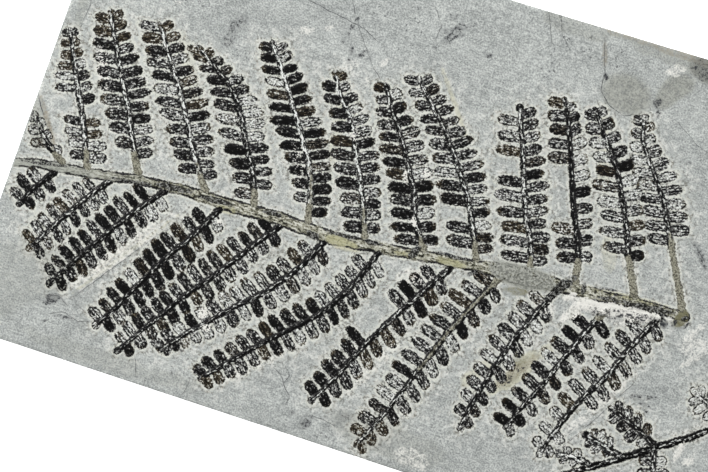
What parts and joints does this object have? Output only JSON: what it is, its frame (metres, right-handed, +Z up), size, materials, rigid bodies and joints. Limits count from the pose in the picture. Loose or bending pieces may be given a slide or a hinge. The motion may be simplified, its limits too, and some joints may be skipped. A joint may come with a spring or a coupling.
{
  "type": "fossil fern plate",
  "caption": "Sawn slab of pale grey shale with a coalified fern frond pressed on its top face: a rachis with paired pinnae of small lobed pinnules, and part of another frond in one corner.",
  "frame": {"origin": "middle of the plate's underside", "axes": "+X along the plate's length, towards the frond's foot; +Y across it; +Z up, out of the fossil's face"},
  "size_m": [0.2372, 0.1474, 0.0149],
  "materials": {
    "shale": "pale blue-grey split shale, sawn edges",
    "coal_film": "black vitrain film, semi-gloss, cracked and flaked",
    "olive_film": "thin olive-khaki altered film, satin"
  },
  "bodies": {
    "root": {"plate": "shale", "main_rachis": "olive_film", "second_rachis": "coal_film", "upper_pinna_01": "coal_film", "upper_pinna_02": "coal_film", "upper_pinna_03": "coal_film", "upper_pinna_04": "coal_film", "upper_pinna_05": "coal_film", "upper_pinna_06": "coal_film", "upper_pinna_07": "coal_film", "upper_pinna_08": "coal_film", "upper_pinna_09": "coal_film", "upper_pinna_10": "coal_film", "upper_pinna_11": "coal_film", "upper_pinna_12": "coal_film", "upper_pinna_13": "coal_film", "lower_pinna_01": "coal_film", "lower_pinna_02": "coal_film", "lower_pinna_03": "coal_film", "lower_pinna_04": "coal_film", "lower_pinna_05": "coal_film", "lower_pinna_06": "coal_film", "lower_pinna_07": "coal_film", "lower_pinna_08": "coal_film", "lower_pinna_09": "coal_film", "lower_pinna_10": "coal_film", "lower_pinna_11": "coal_film", "lower_pinna_12": "coal_film", "second_pinna_01": "coal_film", "second_pinna_02": "coal_film", "second_pinna_03": "coal_film", "second_pinna_04": "coal_film", "second_pinna_05": "coal_film"}
  },
  "joints": []
}
